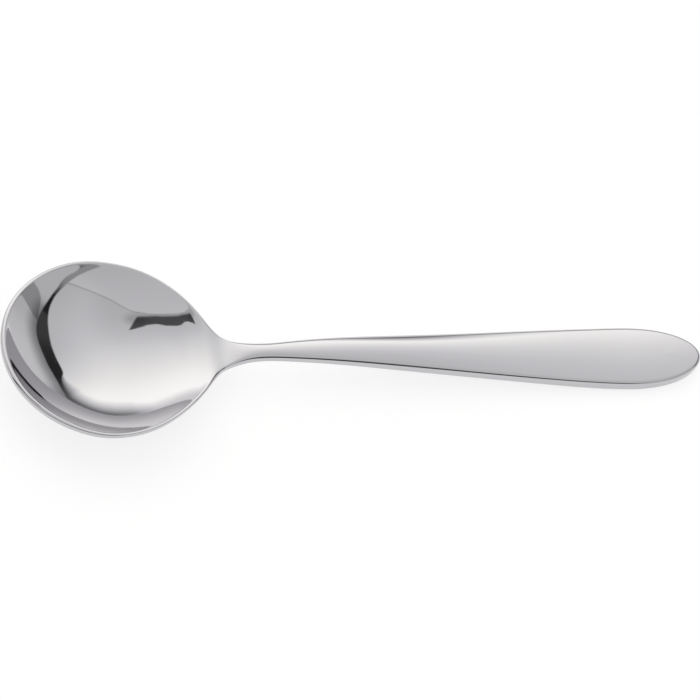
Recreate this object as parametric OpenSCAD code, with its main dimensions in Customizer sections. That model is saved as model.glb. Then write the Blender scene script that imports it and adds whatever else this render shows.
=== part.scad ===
/* [Overall] */
// Length from the tip of the bowl to the end of the handle
spoon_l = 170; // [155:1:190]

/* [Bowl] */
// Length of the bowl from its tip to the heel, where the neck starts
bowl_l = 52; // [46:0.5:58]
// Widest width of the bowl, over the rim
bowl_w = 45.7; // [40:0.1:52]
// Height of the rim above the table, beside the deepest place
rim_h = 9.9; // [8.5:0.1:12]
// Thickness of the rim
rim_t = 1.7; // [1.3:0.1:2.2]
// Width of the narrow flat on top of the rim
rim_land = 0.2; // [0.1:0.1:0.6]
// Thickness of the metal at the bottom of the bowl
floor_t = 1.4; // [1:0.1:2]

/* [Neck] */
// Narrowest width of the neck
neck_w = 4.3; // [3.8:0.1:6]
// Thickness of the neck at its sides
neck_t = 2.3; // [1.9:0.1:2.8]
// Rise of the neck's top along its middle line
neck_crown = 0.15; // [0.1:0.05:0.5]
// Drop of the neck's rounded underside along its middle line
neck_bulge = 0.8; // [0.4:0.1:1.2]
// Height of the neck's top edge above the table at the top of its arch
arch_h = 8.1; // [7:0.1:9.4]

/* [Handle] */
// Widest width of the handle
handle_w = 16; // [14:0.2:19]
// Thickness of the handle at its sides
handle_t = 3.3; // [2.4:0.1:3.8]
// Rise of the handle's top along its middle line
handle_crown = 0.8; // [0.4:0.1:1.2]
// Height of the handle's top edge above the table near its end
end_h = 2.8; // [2.2:0.1:3.3]

/* [Hidden] */

// Working lengths
stem_l = spoon_l - bowl_l;
bowl_r = bowl_w / 2;
neck_r = neck_w / 2;
handle_r = handle_w / 2;

// Outline of the bowl: places along the bowl and half widths there
bowl_at_shares = [0, 0.23, 0.48, 0.655, 0.79, 0.885, 0.96];
bowl_wide_shares = [0.944, 0.984, 0.997, 0.887, 0.675, 0.443, 0.227];

// Outline of the neck and handle: places along the stem and half widths there
neck_at_shares = [0.017, 0.06, 0.127];
neck_wide_shares = [1.36, 0.986, 1.135];
handle_at_shares = [0.237, 0.44, 0.645, 0.815, 0.915, 1];
handle_wide_shares = [0.426, 0.63, 0.855, 0.994, 1.014, 0.98];

// Side view: height of the rim along the bowl, then of the stem's top edge
rim_at_shares = [0, 0.27, 0.54, 0.75, 0.885];
rim_high_shares = [1.17, 1.082, 0.993, 0.977, 0.853];
heel_at_share = 0.981;
heel_high_share = 0.755;
arch_at_shares = [0.034, 0.085, 0.186, 0.339, 0.508, 0.678, 0.847, 1];
arch_high_shares = [0.858, 0.957, 1, 0.791, 0.467, 0.182, 0, 0.072];

wide_x = concat([for (s = bowl_at_shares) s * bowl_l],
  [for (s = concat(neck_at_shares, handle_at_shares)) bowl_l + s * stem_l]);
wide_v = concat(bowl_wide_shares * bowl_r, neck_wide_shares * neck_r, handle_wide_shares * handle_r);
high_x = concat(rim_at_shares * bowl_l, [heel_at_share * bowl_l],
  [for (s = arch_at_shares) bowl_l + s * stem_l]);
high_v = concat(rim_high_shares * rim_h,
  [for (s = concat([heel_high_share], arch_high_shares)) end_h + s * (arch_h - end_h)]);

// Round ends of the outline
tip_round = 0.5 * bowl_l;
end_round = 1.375 * handle_w;
round_power = 2.5;

// Places where one zone hands over to the next
pole_x = 0.44 * bowl_l;
neck_start = bowl_l + 0.06 * stem_l;
neck_end = bowl_l + 0.27 * stem_l;
end_pole_x = spoon_l - 0.62 * handle_w;

// Edge roundings
tip_roll = 0.46 * rim_t;
rim_round = 0.18 * rim_t;
stem_round = 0.42 * neck_t;
land_share = 0.15;
under_share = 0.5;
steep_share = 0.3;

// Smooth curve through the stations: bending at each, then the curve itself
function sweep(xs, vs, i = 1, done = [[0, 0]]) =
  i == len(xs) - 1 ? done :
  let (
    a = xs[i] - xs[i - 1],
    b = xs[i + 1] - xs[i],
    d = 6 * ((vs[i + 1] - vs[i]) / b - (vs[i] - vs[i - 1]) / a),
    m = 2 * (a + b) - a * done[i - 1][0]
  )
  sweep(xs, vs, i + 1, concat(done, [[b / m, (d - a * done[i - 1][1]) / m]]));
function sweep_back(done, i, out) =
  i == 0 ? concat([0], out) :
  sweep_back(done, i - 1, concat([done[i][1] - done[i][0] * out[0]], out));
function bends(xs, vs) =
  let (done = sweep(xs, vs))
  sweep_back(done, len(done) - 1, [0]);
function curve_at(xs, vs, bs, x) =
  let (
    n = len([for (s = xs) if (s < x) 1]),
    i = max(0, min(len(xs) - 2, n - 1)),
    l = xs[i + 1] - xs[i],
    q = (x - xs[i]) / l,
    p = 1 - q
  )
  p * vs[i] + q * vs[i + 1] + ((p * p * p - p) * bs[i] + (q * q * q - q) * bs[i + 1]) * l * l / 6;
function ease(t) = let (c = max(0, min(1, t))) c * c * c * (c * (6 * c - 15) + 10);

wide_b = bends(wide_x, wide_v);
high_b = bends(high_x, high_v);

// Half width squared, its slope, and the height of the top edge
function end_fall(t) = 1 - pow(1 - min(1, t), round_power);
function wide_sq(x) =
  let (w = curve_at(wide_x, wide_v, wide_b, x))
  w * w * end_fall(x / tip_round) * end_fall((spoon_l - x) / end_round);
step = 0.0001 * spoon_l;
function wide_slope(x) = (wide_sq(x + step) - wide_sq(x - step)) / (2 * step);
function edge_high(x) = curve_at(high_x, high_v, high_b, x);

// Changes from bowl to neck and from neck to handle
function to_neck(x) = ease((x - 0.88 * bowl_l) / (neck_start - 0.88 * bowl_l));
function to_handle(x) = ease((x - bowl_l - 0.02 * stem_l) / (0.45 * stem_l));
function to_rest(x) = ease((x - bowl_l - 0.55 * stem_l) / (0.25 * stem_l));
function edge_thick(x) =
  rim_t + (neck_t - rim_t) * to_neck(x) + (handle_t - neck_t) * to_handle(x)
  + (1.3 * end_h - handle_t) * to_rest(x);
function edge_round(x) =
  tip_roll + (rim_round - tip_roll) * ease(x / (0.6 * bowl_l))
  + (stem_round - rim_round) * to_neck(x);
function under_round(x) = under_share * (edge_thick(x) - edge_round(x));
function land(x) = rim_land + (land_share * stem_round - rim_land) * to_neck(x);
function crown(x) = neck_crown * to_neck(x) + (handle_crown - neck_crown) * to_handle(x);
function bulge(x) = neck_bulge * to_neck(x) * (1 - to_handle(x));
function dish(x) = 1 - ease((x - 0.76 * bowl_l) / (0.39 * bowl_l));

// How far the edge rounding follows the outline's own direction
function lean(x) =
  x < neck_end ? 1 - ease((x - 0.93 * bowl_l) / (neck_start - 0.93 * bowl_l)) :
  ease((x - neck_end) / (0.4 * stem_l));
function inward(x) =
  let (
    v = [lean(x) * wide_slope(x) / 2, -sqrt(max(0, wide_sq(x)))],
    l = norm(v)
  )
  v / l;
function fall(q) = q * (1 + steep_share * (1 - q));
pole_sq = wide_sq(pole_x);
function left(p) = wide_sq(p[0]) - p[1] * p[1];

// Beyond the handle's widest place its crown is measured against that place
widest_xs = [for (s = [0.75:0.005:0.92]) bowl_l + s * stem_l];
widest_sq = max([for (x = widest_xs) wide_sq(x)]);
widest_x = [for (x = widest_xs) if (wide_sq(x) == widest_sq) x][0];
function full_sq(x) = x > widest_x ? widest_sq : wide_sq(x);

// Depth of the outer dish, so that the bowl just touches the table
bowl_n = 22;
bowl_xs = [for (i = [0:bowl_n]) neck_start + (pole_x - neck_start) * i / bowl_n];
function under_edge(x) = [x, sqrt(max(0, wide_sq(x)))] + inward(x) * under_round(x);
function reach(x) =
  let (e = left(under_edge(x)))
  fall((wide_sq(x) - e) / (pole_sq - e));
outer_drop = min([for (x = bowl_xs) if (x < 0.8 * bowl_l) (edge_high(x) - edge_thick(x)) / reach(x)]);
inner_drop = outer_drop + rim_t - floor_t;

// One rib from the top of the middle line round the edge to the bottom of the middle line
top_n = 9;
arc_n = 4;
low_n = 3;
under_n = 7;
function top_z(p, e_land, e_round, mid_sq) =
  let (
    f = left(p),
    q = max(0, (f - e_land) / (pole_sq - e_land)),
    r = (f - e_round) / (mid_sq - e_round)
  )
  edge_high(p[0]) - inner_drop * fall(q) * dish(p[0]) + crown(p[0]) * r;
function under_z(p, e_low, mid_sq) =
  let (
    f = left(p),
    q = max(0, (f - e_low) / (pole_sq - e_low)),
    r = max(0, (f - e_low) / (mid_sq - e_low))
  )
  edge_high(p[0]) - edge_thick(p[0]) - outer_drop * fall(q) * dish(p[0]) - bulge(p[0]) * r;
function rib(x, mid_x) =
  let (
    o = [x, sqrt(max(0, wide_sq(x)))],
    n = inward(x),
    r = edge_round(x),
    w = land(x),
    t = edge_thick(x),
    u = under_round(x),
    m = [mid_x, 0],
    mid_sq = full_sq(mid_x),
    p_round = o + n * r,
    p_land = o + n * (r + w),
    p_low = o + n * u,
    e_round = left(p_round),
    e_land = left(p_land),
    e_low = left(p_low),
    lift = crown(x) * (left(o) - e_round) / (mid_sq - e_round)
  )
  concat(
    [for (i = [1:top_n]) let (p = m + (p_land - m) * i / top_n) [p[0], p[1], top_z(p, e_land, e_round, mid_sq)]],
    [for (i = [0:arc_n]) let (a = 90 * i / arc_n, p = o + n * r * (1 - sin(a)))
      [p[0], p[1], top_z(p, e_land, e_round, mid_sq) - (r + lift) * (1 - cos(a))]],
    [for (i = [0:low_n]) let (a = 90 * i / low_n, p = o + n * u * (1 - cos(a)))
      [p[0], p[1], (edge_high(p[0]) - edge_thick(p[0]) + u) - u * sin(a)]],
    [for (i = [under_n - 1:-1:1]) let (p = m + (p_low - m) * i / under_n)
      [p[0], p[1], under_z(p, e_low, mid_sq)]]
  );
function mid_top(x) =
  let (
    o = [x, sqrt(wide_sq(x))],
    e_round = left(o + inward(x) * edge_round(x)),
    e_land = left(o + inward(x) * (edge_round(x) + land(x)))
  )
  [x, 0, top_z([x, 0], e_land, e_round, full_sq(x))];
function mid_under(x) = [x, 0, under_z([x, 0], left(under_edge(x)), full_sq(x))];
function other_side(r) = [for (p = r) [p[0], -p[1], p[2]]];

// Skin between ribs that all run round from one side to the other
module fan_skin(near_xs, fan_xs, pole) {
  side = [for (x = near_xs) rib(x, x)];
  fan = [for (x = fan_xs) rib(x, pole)];
  ribs = concat(
    side, fan,
    [for (i = [len(fan) - 2:-1:0]) other_side(fan[i])],
    [for (i = [len(side) - 1:-1:0]) other_side(side[i])]
  );
  mids = concat(near_xs, [pole]);
  n = len(ribs);
  k = len(ribs[0]);
  s = len(mids);
  tops = n * k;
  unders = tops + s;
  middle = unders + s;
  points = concat(
    [for (r = ribs) each r],
    [for (x = mids) mid_top(x)],
    [for (x = mids) mid_under(x)],
    [(mid_top(mids[0]) + mid_under(mids[0])) / 2]
  );
  skin = [for (j = [0:n - 2]) each concat(
    [for (i = [0:k - 2]) each [
      [j * k + i, j * k + i + 1, (j + 1) * k + i + 1],
      [j * k + i, (j + 1) * k + i + 1, (j + 1) * k + i]
    ]],
    let (a = min(j, n - 1 - j, s - 1), b = min(j + 1, n - 2 - j, s - 1))
    a == b ? [
      [tops + a, j * k, (j + 1) * k],
      [unders + a, (j + 1) * k + k - 1, j * k + k - 1]
    ] : [
      [tops + a, j * k, (j + 1) * k],
      [tops + a, (j + 1) * k, tops + b],
      [unders + a, (j + 1) * k + k - 1, j * k + k - 1],
      [unders + a, unders + b, (j + 1) * k + k - 1]
    ]
  )];
  rim_of_cut = concat(
    [tops], [for (i = [0:k - 1]) i], [unders], [for (i = [k - 1:-1:0]) (n - 1) * k + i]
  );
  c = len(rim_of_cut);
  cut = [for (i = [0:c - 1]) [middle, rim_of_cut[(i + 1) % c], rim_of_cut[i]]];
  polyhedron(points, concat(skin, cut), convexity = 6);
}

// Skin of a length that is open to a neighbour at both ends
module tube_skin(xs) {
  halves = [for (x = xs) rib(x, x)];
  rings = [for (i = [0:len(xs) - 1]) concat(
    [mid_top(xs[i])], halves[i], [mid_under(xs[i])],
    [for (j = [len(halves[i]) - 1:-1:0]) [halves[i][j][0], -halves[i][j][1], halves[i][j][2]]]
  )];
  n = len(rings);
  k = len(rings[0]);
  points = concat(
    [for (r = rings) each r],
    [(mid_top(xs[0]) + mid_under(xs[0])) / 2, (mid_top(xs[n - 1]) + mid_under(xs[n - 1])) / 2]
  );
  skin = [for (j = [0:n - 2]) for (i = [0:k - 1]) each [
    [j * k + i, (j + 1) * k + (i + 1) % k, j * k + (i + 1) % k],
    [j * k + i, (j + 1) * k + i, (j + 1) * k + (i + 1) % k]
  ]];
  start = [for (i = [0:k - 1]) [n * k, i, (i + 1) % k]];
  finish = [for (i = [0:k - 1]) [n * k + 1, (n - 1) * k + (i + 1) % k, (n - 1) * k + i]];
  polyhedron(points, concat(skin, start, finish), convexity = 4);
}

// The bowl: a round dish with an even rim that runs into the heel
module bowl() {
  fan_n = 13;
  near_xs = [for (i = [0:bowl_n - 1]) bowl_xs[i]];
  fan_xs = [for (i = [0:fan_n]) pole_x - pole_x * sin(90 * i / fan_n)];
  color("silver")
  translate([-spoon_l / 2, 0, 0])
  fan_skin(near_xs, fan_xs, pole_x);
}

// The neck: the slim arched length between bowl and handle
module neck() {
  neck_n = 11;
  color("gainsboro")
  translate([-spoon_l / 2, 0, 0])
  tube_skin([for (i = [0:neck_n]) neck_start + (neck_end - neck_start) * i / neck_n]);
}

// The handle: it widens to a rounded end that lies flat on the table
module handle() {
  handle_n = 14;
  fan_n = 10;
  near_xs = [for (i = [0:handle_n - 1]) neck_end + (end_pole_x - neck_end) * i / handle_n];
  fan_xs = [for (i = [0:fan_n]) end_pole_x + (spoon_l - end_pole_x) * sin(90 * i / fan_n)];
  color("lightgray")
  difference() {
    translate([-spoon_l / 2, 0, 0])
    fan_skin(near_xs, fan_xs, end_pole_x);
    translate([0, -handle_w, -end_h])
    cube([spoon_l, 2 * handle_w, end_h]);
  }
}

bowl();
neck();
handle();
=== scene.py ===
import bpy
import math
import numpy as np
from mathutils import Matrix, Vector


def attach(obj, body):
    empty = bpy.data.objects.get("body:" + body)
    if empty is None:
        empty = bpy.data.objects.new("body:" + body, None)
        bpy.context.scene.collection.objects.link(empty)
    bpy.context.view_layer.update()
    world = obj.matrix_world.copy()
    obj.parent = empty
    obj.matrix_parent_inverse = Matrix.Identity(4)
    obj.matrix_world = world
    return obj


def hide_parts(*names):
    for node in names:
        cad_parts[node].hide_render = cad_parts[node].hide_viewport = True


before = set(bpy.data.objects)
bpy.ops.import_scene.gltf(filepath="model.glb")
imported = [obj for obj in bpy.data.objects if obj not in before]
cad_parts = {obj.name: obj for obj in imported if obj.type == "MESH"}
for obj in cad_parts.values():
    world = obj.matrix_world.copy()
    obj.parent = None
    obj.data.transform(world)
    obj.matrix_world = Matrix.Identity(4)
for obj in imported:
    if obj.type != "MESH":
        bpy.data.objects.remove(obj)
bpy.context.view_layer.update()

# The bowl
# The spoon is one blank of stainless steel, stamped to outline and pressed to depth, so the
# skin of the whole blank is drawn here, in millimetres from the tip of the bowl. The bowl is
# the round dish, with a rim left thicker than its floor and rolled over to a soft edge.

MM = 0.001
spoon_l = 170.0
bowl_l = 52.0
bowl_w = 45.7
rim_high = 9.9
rim_thick = 1.7
rim_land = 0.2
floor_thick = 1.4
neck_w = 4.3
neck_thick = 2.3
neck_crown = 0.15
neck_bulge = 0.8
arch_high = 8.1
handle_w = 16.0
handle_thick = 3.3
handle_crown = 0.8
end_high = 2.8
stem_l = spoon_l - bowl_l

# the poles that the ribs fan out from, and where one zone hands over to the next
bowl_pole = 0.44 * bowl_l
end_pole = spoon_l - 0.62 * handle_w
neck_start = bowl_l + 0.06 * stem_l
neck_end = bowl_l + 0.27 * stem_l

# where the section starts to change, and where it has changed: into the neck, into the grip
# and into the flat end, and where the pressed dish runs out
heel_start = 0.88 * bowl_l
grip_start = bowl_l + 0.02 * stem_l
grip_full = bowl_l + 0.47 * stem_l
rest_start = bowl_l + 0.55 * stem_l
rest_full = bowl_l + 0.8 * stem_l
dish_fades = 0.76 * bowl_l
dish_ends = 1.15 * bowl_l

# how the edges are rounded, how thick the flat end is, and how the ends of the outline close
tip_roll = 0.46 * rim_thick
roll_end = 0.6 * bowl_l
rim_round = 0.18 * rim_thick
stem_round = 0.42 * neck_thick
stem_land = 0.15 * stem_round
under_share = 0.5
rest_thick = 1.3 * end_high
tip_round = 0.5 * bowl_l
end_round = 1.375 * handle_w
round_power = 2.5

# how the dish falls from the rim to its deepest place, and how soft the crease inside the rim is
steepness = 0.3
crease = 0.012


def drawn_line(at, value):
    """A springy line through given stations, as a draughtsman's spline would give."""
    at, value = np.array(at, float), np.array(value, float)
    n, gap = len(at), np.diff(at)
    a, b = np.eye(n), np.zeros(n)
    for i in range(1, n - 1):
        a[i, i - 1:i + 2] = gap[i - 1], 2 * (gap[i - 1] + gap[i]), gap[i]
        b[i] = 6 * ((value[i + 1] - value[i]) / gap[i] - (value[i] - value[i - 1]) / gap[i - 1])
    bend = np.linalg.solve(a, b)

    def line(x):
        i = np.clip(np.searchsorted(at, x) - 1, 0, n - 2)
        q = (x - at[i]) / gap[i]
        p = 1 - q
        curve = (p ** 3 - p) * bend[i] + (q ** 3 - q) * bend[i + 1]
        return p * value[i] + q * value[i + 1] + curve * gap[i] ** 2 / 6
    return line


# half the width along the spoon, then the height of the top edge, as shares of the sizes
half_width = drawn_line(
    [share * bowl_l for share in (0, 0.23, 0.48, 0.655, 0.79, 0.885, 0.96)]
    + [bowl_l + share * stem_l for share in (0.017, 0.06, 0.127, 0.237, 0.44, 0.645, 0.815, 0.915, 1)],
    [share * bowl_w / 2 for share in (0.944, 0.984, 0.997, 0.887, 0.675, 0.443, 0.227)]
    + [share * neck_w / 2 for share in (1.36, 0.986, 1.135)]
    + [share * handle_w / 2 for share in (0.426, 0.63, 0.855, 0.994, 1.014, 0.98)])
edge_height = drawn_line(
    [share * bowl_l for share in (0, 0.27, 0.54, 0.75, 0.885, 0.981)]
    + [bowl_l + share * stem_l for share in (0.034, 0.085, 0.186, 0.339, 0.508, 0.678, 0.847, 1)],
    [share * rim_high for share in (1.17, 1.082, 0.993, 0.977, 0.853)]
    + [end_high + share * (arch_high - end_high)
       for share in (0.755, 0.858, 0.957, 1, 0.791, 0.467, 0.182, 0, 0.072)])


def ease(t):
    """From nothing to all, with a soft start and a soft stop."""
    t = np.clip(t, 0, 1)
    return t * t * t * (t * (6 * t - 15) + 10)


def round_end(t):
    """How a rounded end opens to the full width."""
    return 1 - np.power(1 - np.minimum(1, t), round_power)


def width_sq(x):
    """Half the width, squared, with both ends of the outline rounded off."""
    return half_width(x) ** 2 * round_end(x / tip_round) * round_end((spoon_l - x) / end_round)


def change(x, start, full):
    """Nothing up to one place along the spoon, and all of it from the other."""
    return ease((x - start) / (full - start))


def to_neck(x):
    return change(x, heel_start, neck_start)


def to_handle(x):
    return change(x, grip_start, grip_full)


def to_rest(x):
    return change(x, rest_start, rest_full)


def thickness(x):
    return (rim_thick + (neck_thick - rim_thick) * to_neck(x)
            + (handle_thick - neck_thick) * to_handle(x)
            + (rest_thick - handle_thick) * to_rest(x))


def edge_round(x):
    """The rounding of the upper edge: rolled round the tip, crisper beside the bowl."""
    return (tip_roll + (rim_round - tip_roll) * change(x, 0, roll_end)
            + (stem_round - rim_round) * to_neck(x))


def under_round(x):
    """The rounding of the lower edge, a share of the thickness that the upper one leaves."""
    return under_share * (thickness(x) - edge_round(x))


def land(x):
    """The narrow flat on top of the rim."""
    return rim_land + (stem_land - rim_land) * to_neck(x)


def crown(x):
    """How far the top rises along its middle line."""
    return neck_crown * to_neck(x) + (handle_crown - neck_crown) * to_handle(x)


def bulge(x):
    """How far the neck's rounded underside drops along its middle line."""
    return neck_bulge * to_neck(x) * (1 - to_handle(x))


def dish(x):
    """How much of the pressed depth there is: all in the bowl, none beyond the heel."""
    return 1 - change(x, dish_fades, dish_ends)


def outline(x):
    return np.stack([x, np.sqrt(np.maximum(0, width_sq(x)))], -1)


def inward(x):
    """Which way the edge's own width runs, seen from above: straight across at the neck, and
    elsewhere square to the outline."""
    square_until = 0.93 * bowl_l
    square_from = neck_end + 0.4 * stem_l
    step = 0.001
    follow = np.where(x < neck_end, 1 - change(x, square_until, neck_start),
                      change(x, neck_end, square_from))
    slope = (width_sq(x + step) - width_sq(x - step)) / (2 * step)
    way = np.stack([follow * slope / 2, -np.sqrt(np.maximum(0, width_sq(x)))], -1)
    return way / np.linalg.norm(way, axis=-1, keepdims=True)


def inside(p):
    """How far a place lies inside the outline: nothing on it, most in the middle."""
    return width_sq(p[..., 0]) - p[..., 1] ** 2


def fall(q):
    """How deep the dish is, from the rim at 0 to its deepest place at 1."""
    return q * (1 + steepness * (1 - q))


# beyond the handle's widest place its crown is measured against that place
wide_part = np.linspace(bowl_l + 0.75 * stem_l, bowl_l + 0.92 * stem_l, 400)
widest_x = wide_part[np.argmax(width_sq(wide_part))]
widest_sq = np.max(width_sq(wide_part))
pole_sq = width_sq(np.array([bowl_pole]))[0]


def press_depth():
    """The outer dish goes down until the bowl just touches the table."""
    short_of_heel = 0.8 * bowl_l
    x = np.linspace(bowl_pole, short_of_heel, 900)
    low = inside(outline(x) + inward(x) * under_round(x)[:, None])
    return np.min((edge_height(x) - thickness(x)) / fall((width_sq(x) - low) / (pole_sq - low)))


outer_drop = press_depth()
inner_drop = outer_drop + rim_thick - floor_thick

# how many steps a rib takes over the face, the land, the rounded edge, the lower edge and the
# back; the face's are closer together towards the rim, and the back's towards the middle
face_steps = 60
land_steps = 6
edge_steps = 16
low_steps = 10
back_steps = 36
face_closer = 1.5
back_closer = 1.2


def ribs(x, mid_x):
    """Ribs from the top middle line, over the edge, to the middle line underneath."""
    edge, way = outline(x)[:, None], inward(x)[:, None]
    roll, flat, under = (size(x)[:, None, None] for size in (edge_round, land, under_round))
    middle = np.stack([mid_x, 0 * mid_x], -1)[:, None]
    mid_sq = np.where(mid_x > widest_x, widest_sq, width_sq(mid_x))[:, None]
    at_roll, at_land, at_low = edge + way * roll, edge + way * (roll + flat), edge + way * under
    in_edge, in_roll, in_land, in_low = inside(edge), inside(at_roll), inside(at_land), inside(at_low)

    def top(p):
        depth = (inside(p) - in_land) / (pole_sq - in_land)
        depth = (depth + np.sqrt(depth * depth + crease * crease)) / 2
        rise = crown(p[..., 0]) * (inside(p) - in_roll) / (mid_sq - in_roll)
        return edge_height(p[..., 0]) - inner_drop * fall(depth) * dish(p[..., 0]) + rise

    def bottom(p):
        x = p[..., 0]
        depth = np.maximum(0, (inside(p) - in_low) / (pole_sq - in_low))
        swell = bulge(x) * np.maximum(0, (inside(p) - in_low) / (mid_sq - in_low))
        return edge_height(x) - thickness(x) - outer_drop * fall(depth) * dish(x) - swell

    # the face, then the land
    s = 1 - (1 - np.linspace(0, 1, face_steps + 1)[1:]) ** face_closer
    face = middle + (at_land - middle) * s[None, :, None]
    s = np.linspace(0, 1, land_steps + 1)[1:-1]
    face = np.concatenate([face, at_land + (at_roll - at_land) * s[None, :, None]], 1)
    face = np.concatenate([face, top(face)[..., None]], -1)

    # the rounded upper edge, a quarter turn
    a = np.radians(np.linspace(0, 90, edge_steps + 1))[None, :, None]
    arc = edge + way * roll * (1 - np.sin(a))
    lift = crown(x)[:, None] * (in_edge - in_roll) / (mid_sq - in_roll)
    arc_z = top(arc) - (roll[..., 0] + lift) * (1 - np.cos(a[..., 0]))
    arc = np.concatenate([arc, arc_z[..., None]], -1)

    # the rounded lower edge, a quarter turn
    a = np.radians(np.linspace(0, 90, low_steps + 1))[None, :, None]
    low = edge + way * under * (1 - np.cos(a))
    low_z = edge_height(low[..., 0]) - thickness(low[..., 0]) + under[..., 0] * (1 - np.sin(a[..., 0]))
    low = np.concatenate([low, low_z[..., None]], -1)

    # the back
    s = np.linspace(1, 0, back_steps + 1)[1:-1] ** back_closer
    back = middle + (at_low - middle) * s[None, :, None]
    back = np.concatenate([back, bottom(back)[..., None]], -1)

    mid_top = np.concatenate([middle[:, 0], top(middle)], -1)
    mid_low = np.concatenate([middle[:, 0], bottom(middle)], -1)
    return np.concatenate([face, arc, low, back], 1), mid_top, mid_low


# how many steps the ribs take along each zone
tip_steps = 110
heel_steps = 120
neck_steps = 60
grip_steps = 140
end_steps = 60

# the ribs along each zone; round the tip and the end they fan out from a pole
tip_ribs = bowl_pole * (1 - np.sin(np.radians(np.linspace(90, 0, tip_steps + 1))))
heel_ribs = np.linspace(bowl_pole, neck_start, heel_steps + 1)[1:]
neck_ribs = np.linspace(neck_start, neck_end, neck_steps + 1)[1:]
grip_ribs = np.linspace(neck_end, end_pole, grip_steps + 1)[1:]
end_fan = np.radians(np.linspace(0, 90, end_steps + 1)[1:])
end_ribs = end_pole + (spoon_l - end_pole) * np.sin(end_fan)
rib_at = np.concatenate([tip_ribs, heel_ribs, neck_ribs, grip_ribs, end_ribs])
rib_count = len(rib_at)
first_mid = len(tip_ribs) - 1
last_mid = rib_count - len(end_ribs) - 1
neck_rib = first_mid + len(heel_ribs)
handle_rib = neck_rib + len(neck_ribs)

# the skin's points: ribs up one side and back down the other, then both middle lines
left_half, mid_top, mid_low = ribs(rib_at, np.clip(rib_at, bowl_pole, end_pole))
left_half[[0, -1], :, 1] = 0
right_half = left_half[1:-1] * [1, -1, 1]
rib_loop = np.concatenate([left_half, right_half[::-1]])
loop_count, rib_points = rib_loop.shape[:2]
mid_span = slice(first_mid, last_mid + 1)
skin_points = np.concatenate([rib_loop.reshape(-1, 3), mid_top[mid_span], mid_low[mid_span]])
top_start = loop_count * rib_points
low_start = top_start + last_mid + 1 - first_mid


def skin_between_ribs():
    """The faces of the whole skin, and for each the rib that it starts from."""
    faces, home = [], []
    for j in range(loop_count):
        a, b = j * rib_points, (j + 1) % loop_count * rib_points
        rib_a, rib_b = (min(rib, 2 * (rib_count - 1) - rib) for rib in (j, j + 1))
        for i in range(rib_points - 1):
            faces.append((a + i, b + i, b + i + 1, a + i + 1))
        mid_a, mid_b = (int(np.clip(rib, first_mid, last_mid)) - first_mid for rib in (rib_a, rib_b))
        end_a, end_b = a + rib_points - 1, b + rib_points - 1
        if mid_a == mid_b:
            faces += [(top_start + mid_a, b, a), (low_start + mid_a, end_a, end_b)]
        else:
            faces += [(top_start + mid_a, top_start + mid_b, b, a),
                      (low_start + mid_b, low_start + mid_a, end_a, end_b)]
        home += [min(rib_a, rib_b)] * (rib_points + 1)
    return faces, np.array(home)


skin_faces, skin_home = skin_between_ribs()


def skin_normals():
    """Smooth normals over the whole blank, so that no seam shows between the zones."""
    total = np.zeros_like(skin_points)
    for corners in (3, 4):
        face = np.array([f for f in skin_faces if len(f) == corners])
        area = np.cross(skin_points[face[:, 2]] - skin_points[face[:, 0]],
                        skin_points[face[:, -1]] - skin_points[face[:, 1]])
        for corner in range(corners):
            np.add.at(total, face[:, corner], area)
    return total / np.maximum(np.linalg.norm(total, axis=1, keepdims=True), 1e-12)


smooth_normals = skin_normals()


def cut_from_blank(name, first_rib, last_rib):
    """One zone of the blank as a closed piece; its ends are flat where the next zone meets it."""
    picked = np.nonzero((skin_home >= first_rib) & (skin_home < last_rib))[0]
    faces = [skin_faces[i] for i in picked]
    normals = [[smooth_normals[v] for v in face] for face in faces]
    points = list(skin_points)
    for rib, facing in ((first_rib, -1), (last_rib, 1)):
        if rib in (0, rib_count - 1):
            continue
        top, low = top_start + rib - first_mid, low_start + rib - first_mid
        ring = [top] + [rib * rib_points + i for i in range(rib_points)] + [low]
        ring += [(loop_count - rib) * rib_points + i for i in range(rib_points - 1, -1, -1)]
        centre = len(points)
        points.append((skin_points[top] + skin_points[low]) / 2)
        for a, b in zip(ring, ring[1:] + ring[:1]):
            faces.append((centre, b, a) if facing > 0 else (centre, a, b))
            normals.append([(facing, 0, 0)] * 3)
    used = sorted({v for face in faces for v in face})
    place = {v: i for i, v in enumerate(used)}
    at = [((points[v][0] - spoon_l / 2) * MM, points[v][1] * MM, points[v][2] * MM) for v in used]
    mesh = bpy.data.meshes.new(name)
    mesh.from_pydata(at, [], [[place[v] for v in face] for face in faces])
    mesh.shade_smooth()
    mesh.normals_split_custom_set([tuple(n) for corners in normals for n in corners])
    piece = bpy.data.objects.new(name, mesh)
    bpy.context.collection.objects.link(piece)
    return piece


steel_grey = (0.553, 0.543, 0.566, 1)


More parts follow.
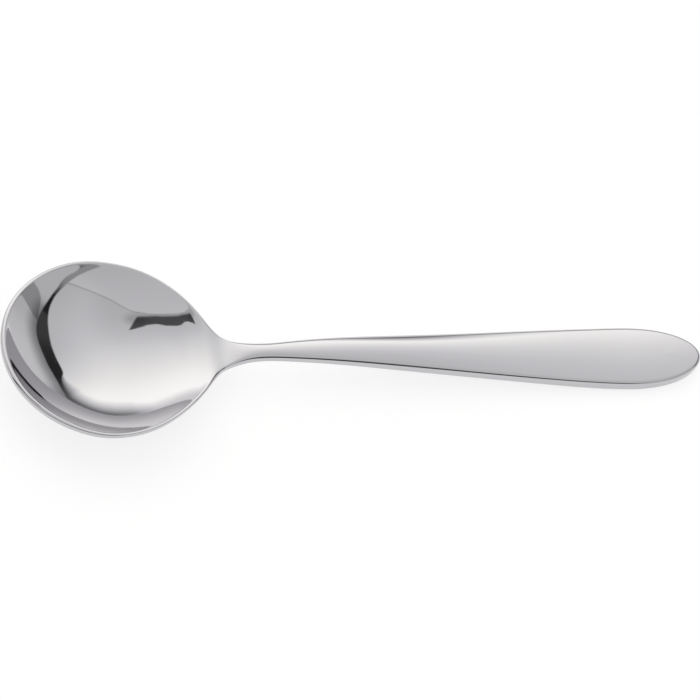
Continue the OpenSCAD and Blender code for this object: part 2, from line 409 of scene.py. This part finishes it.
def polished_steel():
    """Stainless steel, machine polished to a mirror, with the hair lines of handling."""
    steel = bpy.data.materials.new("polished_steel")
    steel.use_nodes = True
    nodes, link = steel.node_tree.nodes, steel.node_tree.links.new
    shader = nodes["Principled BSDF"]
    shader.inputs["Base Color"].default_value = steel_grey
    shader.inputs["Metallic"].default_value = 1.0
    place = nodes.new("ShaderNodeTexCoord")

    def roughness_from(noise, low, high, smooth, dull):
        node = nodes.new("ShaderNodeMapRange")
        for name, value in (("From Min", low), ("From Max", high), ("To Min", smooth), ("To Max", dull)):
            node.inputs[name].default_value = value
        link(noise.outputs["Fac"], node.inputs["Value"])
        return node.outputs["Result"]

    # a haze that comes and goes over a centimetre or so
    haze = nodes.new("ShaderNodeTexNoise")
    haze.inputs["Scale"].default_value = 90
    haze.inputs["Detail"].default_value = 4
    link(place.outputs["Object"], haze.inputs["Vector"])

    # hair lines along the spoon, many times longer than they are wide
    along = nodes.new("ShaderNodeMapping")
    along.inputs["Scale"].default_value = (60, 2400, 2400)
    hair = nodes.new("ShaderNodeTexNoise")
    hair.inputs["Scale"].default_value = 1
    hair.inputs["Detail"].default_value = 3
    link(place.outputs["Object"], along.inputs["Vector"])
    link(along.outputs["Vector"], hair.inputs["Vector"])

    both = nodes.new("ShaderNodeMath")
    both.operation = 'ADD'
    link(roughness_from(haze, low=0.35, high=0.7, smooth=0.02, dull=0.04), both.inputs[0])
    link(roughness_from(hair, low=0.55, high=0.75, smooth=0.0, dull=0.06), both.inputs[1])
    link(both.outputs[0], shader.inputs["Roughness"])

    # the hair lines are scratched in by less than a thousandth of a millimetre
    scratch_deep = 0.0008 * MM
    groove = nodes.new("ShaderNodeBump")
    groove.inputs["Strength"].default_value = 1.0
    groove.inputs["Distance"].default_value = scratch_deep
    link(hair.outputs["Fac"], groove.inputs["Height"])
    link(groove.outputs["Normal"], shader.inputs["Normal"])
    return steel


steel = polished_steel()
bowl = cut_from_blank("steel_bowl", 0, neck_rib)
bowl.data.materials.append(steel)
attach(bowl, "root")
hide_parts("bowl")

# The neck
# The slim arched length behind the heel, where the blank is narrowest. It is swaged from the
# same steel, rounded underneath and lightly crowned on top.

neck = cut_from_blank("steel_neck", neck_rib, handle_rib)
neck.data.materials.append(steel)
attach(neck, "root")
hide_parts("neck")

# The handle
# The grip widens to a broad rounded end. It is the same blank, so it carries on from the neck.
# Its top is crowned, its edges are softly rounded, and its end lies flat on the table.

# the underside of the end is cut level with the table
beyond_neck = skin_points[:, 0] > neck_end
skin_points[beyond_neck, 2] = np.maximum(0, skin_points[beyond_neck, 2])
handle = cut_from_blank("steel_handle", handle_rib, rib_count - 1)
handle.data.materials.append(steel)
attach(handle, "root")
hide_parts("handle")

# The table
# A plain white sweep, matt and evenly lit, on which the spoon lies. It sits a hair below the
# spoon, so that the two skins don't meet in one plane.

table_reach = 6.0
table_gap = 0.02 * MM
table_mesh = bpy.data.meshes.new("table")
table_corners = [(x * table_reach, y * table_reach, 0) for x, y in ((-1, -1), (1, -1), (1, 1), (-1, 1))]
table_mesh.from_pydata(table_corners, [], [(0, 1, 2, 3)])
table = bpy.data.objects.new("table", table_mesh)
table.location.z = -table_gap
bpy.context.collection.objects.link(table)
sweep = bpy.data.materials.new("white_sweep")
sweep.use_nodes = True
sweep_nodes, sweep_link = sweep.node_tree.nodes, sweep.node_tree.links.new
matt = sweep_nodes["Principled BSDF"]
matt.inputs["Base Color"].default_value = (0.9, 0.9, 0.9, 1)
matt.inputs["Roughness"].default_value = 0.9
matt.inputs["Specular IOR Level"].default_value = 0.0
lit_share = 0.6
lit = sweep_nodes.new("ShaderNodeEmission")
lit.inputs["Color"].default_value = (1.2, 1.2, 1.2, 1)
blend = sweep_nodes.new("ShaderNodeMixShader")
blend.inputs["Fac"].default_value = lit_share
sweep_link(matt.outputs[0], blend.inputs[1])
sweep_link(lit.outputs[0], blend.inputs[2])
sweep_link(blend.outputs[0], sweep_nodes["Material Output"].inputs["Surface"])
table_mesh.materials.append(sweep)

# The studio
# Soft panels all round: a tent overhead, brightest low on the far side, a dark gap between it
# and the right-hand panel, and the dark shape of the camera itself.

world = bpy.data.worlds.new("studio")
bpy.context.scene.world = world
world.use_nodes = True
sky, sky_link = world.node_tree.nodes, world.node_tree.links.new


def wire(value, socket):
    """Sets a socket to a plain number, or links it."""
    if isinstance(value, (int, float)):
        socket.default_value = value
    else:
        sky_link(value, socket)


def calc(kind, *values):
    node = sky.new("ShaderNodeMath")
    node.operation = kind
    for value, socket in zip(values, node.inputs):
        wire(value, socket)
    return node.outputs[0]


def add(a, b):
    return calc('ADD', a, b)


def less(a, b):
    return calc('SUBTRACT', a, b)


def times(a, b):
    return calc('MULTIPLY', a, b)


def off_from(value, place):
    """How far a value lies from a place, on either side."""
    return calc('ABSOLUTE', less(value, place))


def length(a, b):
    return calc('SQRT', add(times(a, a), times(b, b)))


def between(value, low, high, from_v=0.0, to_v=1.0, shape='SMOOTHSTEP'):
    """One strength up to low and another from high, with a soft step between."""
    node = sky.new("ShaderNodeMapRange")
    node.interpolation_type = shape
    for name, v in (("Value", value), ("From Min", low), ("From Max", high),
                    ("To Min", from_v), ("To Max", to_v)):
        wire(v, node.inputs[name])
    return node.outputs[0]


def drawn(value, low, high, top, points):
    """A drawn curve through listed points over a range, for a strength or a place."""
    node = sky.new("ShaderNodeFloatCurve")
    curve = node.mapping.curves[0]
    at = [((x - low) / (high - low), y / top) for x, y in points]
    while len(curve.points) < len(at):
        curve.points.new(0.5, 0.5)
    for point, xy in zip(curve.points, sorted(at)):
        point.location = xy
        point.handle_type = 'AUTO_CLAMPED'
    node.mapping.update()
    sky_link(calc('DIVIDE', less(value, low), high - low), node.inputs["Value"])
    return times(node.outputs[0], top)


def darken(light, shape, share):
    """Takes a share of the light away where the shape lies."""
    return times(light, less(1.0, times(shape, share)))


# The studio as a round map seen from the spoon: overhead in the middle, the horizon at 1,
# the handle's end to the right (across) and the far side of the table up (deep).
look = sky.new("ShaderNodeSeparateXYZ")
sky_link(sky.new("ShaderNodeTexCoord").outputs["Generated"], look.inputs[0])
tilt = calc('DIVIDE', calc('ARCCOSINE', look.outputs["Z"]), math.pi / 2)
not_zero = 0.00001
flat = calc('SQRT', less(1.0 + not_zero, times(look.outputs["Z"], look.outputs["Z"])))
across = times(tilt, calc('DIVIDE', look.outputs["X"], flat))
deep = times(tilt, calc('DIVIDE', look.outputs["Y"], flat))

# the tent: even overhead, and bright low on the far side, fading out to the left and right
tent = drawn(deep, -1.0, 1.0, 2.0,
             [(-1.0, 0.95), (-0.8, 0.78), (-0.6, 0.64), (-0.4, 0.69), (-0.2, 0.73), (0.0, 0.78), (1.0, 0.8)])
far = drawn(deep, -1.0, 1.0, 2.0,
            [(-1.0, 0.0), (-0.1, 0.0), (0.0, 0.03), (0.1, 0.12), (0.2, 0.27), (0.3, 0.42), (0.45, 0.62),
             (0.62, 0.82), (0.75, 0.88), (0.88, 0.8), (1.0, 0.7)])
slant = less(across, times(calc('MAXIMUM', less(deep, 0.2), 0.0), 0.6))
far = times(far, between(across, -0.48, -0.28))
tent = add(tent, times(far, between(slant, -0.05, 0.6, 1.0, 0.0)))

# a joint in its cloth on the near side: a thin dark line, and lighter cloth beyond it
joint = add(deep, drawn(across, -1.0, 1.0, 1.0,
                        [(-1.0, 0.1), (-0.35, 0.1), (-0.25, 0.12), (-0.17, 0.15), (-0.1, 0.195), (0.0, 0.26),
                         (0.1, 0.305), (0.2, 0.333), (0.3, 0.35), (0.45, 0.363), (1.0, 0.363)]))
tent = add(tent, between(joint, -0.02, -0.005, 0.1, 0.0))
tent = less(tent, between(calc('ABSOLUTE', joint), 0.002, 0.012, 0.16, 0.0))

# slightly brighter cloth to the right of the middle
lift = times(between(off_from(across, 0.3), 0.0, 0.35, 0.08, 0.0),
             between(off_from(deep, -0.05), 0.15, 0.5, 1.0, 0.0))
tent = add(tent, lift)

# the dark gap on the right, which bends round to the near and far sides: its inner and outer
# edge, how bright it is and how softly it starts, by the turn about a point on the far side
hub = 0.2
turn = calc('DEGREES', calc('ARCTAN2', less(deep, hub), across))
out = length(across, less(deep, hub))
gap_in = drawn(turn, -180, 180, 1.2,
               [(-180, 0.86), (-90, 0.81), (-84, 0.8), (-77, 0.79), (-70, 0.782), (-60, 0.772), (-50, 0.757),
                (-45, 0.745), (-40, 0.734), (-35, 0.72), (-30, 0.7), (-25, 0.678), (-20, 0.651), (-15, 0.625),
                (-10, 0.6), (-5, 0.58), (0, 0.564), (5, 0.552), (10, 0.541), (15, 0.534), (22, 0.53),
                (28, 0.537), (32, 0.572), (36, 0.612), (40, 0.642), (45, 0.676), (50, 0.705), (55, 0.701),
                (60, 0.694), (67, 0.688), (74, 0.682), (80, 0.682), (86, 0.684), (92, 0.69), (98, 0.7),
                (105, 0.73), (180, 0.8)])
gap_out = drawn(turn, -180, 180, 1.2,
                [(-180, 0.9), (-90, 1.05), (-84, 1.1), (-80, 1.1), (-77, 1.07), (-72, 0.98), (-66, 0.86),
                 (-60, 0.808), (-50, 0.8), (-45, 0.785), (-40, 0.757), (-35, 0.742), (-30, 0.727),
                 (-25, 0.716), (-20, 0.709), (-15, 0.705), (-10, 0.7), (-5, 0.69), (0, 0.674), (5, 0.656),
                 (10, 0.638), (15, 0.626), (20, 0.621), (28, 0.622), (32, 0.63), (36, 0.643), (40, 0.668),
                 (45, 0.705), (50, 0.74), (55, 0.735), (60, 0.727), (67, 0.722), (74, 0.716), (80, 0.718),
                 (86, 0.724), (92, 0.74), (98, 0.77), (105, 0.8), (180, 0.87)])
gap_light = drawn(turn, -180, 180, 1.5,
                  [(-180, 0.42), (-58, 0.42), (-50, 0.4), (-44, 0.3), (-38, 0.1), (-30, 0.02), (-22, 0.02),
                   (-18, 0.07), (-5, 0.07), (10, 0.04), (30, 0.03), (45, 0.13), (60, 0.26), (78, 0.3),
                   (86, 0.38), (92, 0.6), (98, 0.85), (105, 1.05), (180, 1.2)])
gap_soft = drawn(turn, -180, 180, 1.0,
                 [(-180, 0.012), (28, 0.012), (35, 0.05), (40, 0.1), (50, 0.17), (60, 0.18), (75, 0.2),
                  (86, 0.2), (95, 0.17), (105, 0.14), (180, 0.1)])
gap_light = times(gap_light, between(out, 0.81, 0.835, 1.0, 0.2))
past = less(out, gap_out)
before_gap = between(out, less(gap_in, gap_soft), gap_in, 1.0, 0.0, 'LINEAR')
after_gap = between(past, -0.006, 0.012)

# the right-hand panel beyond the gap, dimmer next to it, with the dark leaf of its stand
leaf_dark = 0.42
panel = drawn(deep, -1.0, 1.0, 2.0,
              [(-1.0, 0.95), (-0.6, 0.72), (-0.3, 0.72), (0.0, 0.7), (0.2, 0.8), (0.4, 0.87), (0.6, 0.88),
               (0.75, 0.65), (1.0, 0.6)])
dim = drawn(turn, -180, 180, 1.0,
            [(-180, 0.0), (-32, 0.0), (-22, 0.5), (-5, 0.6), (30, 0.6), (50, 0.4), (65, 0.1), (180, 0.0)])
panel = darken(panel, dim, between(past, 0.0, 0.15, 1.0, 0.0))
leaf_low = drawn(out, 0.7, 1.1, 60, [(0.7, 11), (0.75, 12), (0.8, 14), (0.9, 16), (1.1, 19)])
leaf_high = drawn(out, 0.7, 1.1, 60,
                  [(0.7, 12), (0.74, 20), (0.77, 25), (0.82, 28), (0.88, 29), (0.95, 24), (1.1, 18)])
leaf = times(between(add(turn, leaf_low), -1.0, 0.5, 1.0, 0.0), between(add(turn, leaf_high), -0.7, 0.7))
panel = darken(panel, leaf, leaf_dark)

# all together: the tent up to the gap, the gap, and the panel beyond it
light = calc('MAXIMUM', times(tent, before_gap), times(panel, after_gap))
in_gap = less(1.0, calc('MAXIMUM', before_gap, after_gap))
light = add(light, times(in_gap, gap_light))

# the camera's dark shape, with a soft shadow round it; its upper and lower outline count up
# from a line a little on the near side
near_line = -0.1
camera_dark = 0.86
shadow_at = (-0.19, -0.07)
camera_top = drawn(across, -1.0, 0.0, 0.2,
                   [(-1.0, 0.13), (-0.36, 0.135), (-0.335, 0.125), (-0.3, 0.096), (-0.26, 0.1),
                    (-0.23, 0.112), (-0.19, 0.122), (-0.15, 0.133), (-0.1, 0.14), (0.0, 0.14)])
camera_low = drawn(across, -1.0, 0.0, 0.2,
                   [(-1.0, 0.03), (-0.345, 0.024), (-0.32, 0.018), (-0.25, 0.018), (-0.19, 0.021),
                    (-0.155, 0.026), (-0.135, 0.035), (-0.11, 0.06), (0.0, 0.15)])
level = less(deep, near_line)
camera_shape = times(between(less(camera_top, level), -0.006, 0.01),
                     between(less(level, camera_low), -0.03, 0.01))
camera_end = between(less(across, times(level, 0.7)), -0.222, -0.2, 1.0, 0.0)
light = darken(light, times(camera_shape, camera_end), camera_dark)
halo = length(less(across, shadow_at[0]), times(less(deep, shadow_at[1]), 1.6))
light = times(light, between(halo, 0.02, 0.15, 0.7, 1.0))

# the brightest cloth is a little warmer than the rest
warm_blue = 0.955
tint = sky.new("ShaderNodeCombineColor")
tint.inputs["Red"].default_value = 1.0
tint.inputs["Green"].default_value = 1.0
sky_link(between(light, 0.9, 1.4, 1.0, warm_blue), tint.inputs["Blue"])
sky_link(tint.outputs[0], sky["Background"].inputs["Color"])
sky_link(light, sky["Background"].inputs["Strength"])

# The camera
# A long lens from above, on the near side and a little towards the bowl, rolled so that the
# spoon lies level in the picture.

yaw, rise, roll = math.radians(30), math.radians(55), math.radians(24.438)
distance = 0.6
aim = Vector((0, 0, 0.005))
picture_px = 700
film_mm = 36
focal_px = 2597.3
shift_px = (-14.87, 4.198)
away = Vector((-math.sin(yaw) * math.cos(rise), -math.cos(yaw) * math.cos(rise), math.sin(rise)))
sideways = (-away).cross(Vector((0, 0, 1))).normalized()
upright = sideways.cross(-away)
picture_right = math.cos(roll) * sideways + math.sin(roll) * upright
picture_up = -math.sin(roll) * sideways + math.cos(roll) * upright
camera_data = bpy.data.cameras.new("camera")
camera_data.sensor_width = film_mm
camera_data.lens = focal_px * film_mm / picture_px
camera_data.shift_x, camera_data.shift_y = (px / picture_px for px in shift_px)
camera_data.clip_start = 0.01
camera = bpy.data.objects.new("camera", camera_data)
turned = Matrix((picture_right, picture_up, away)).transposed().to_4x4()
camera.matrix_world = Matrix.Translation(aim + distance * away) @ turned
bpy.context.collection.objects.link(camera)
bpy.context.scene.camera = camera
bpy.context.scene.view_settings.view_transform = 'Standard'
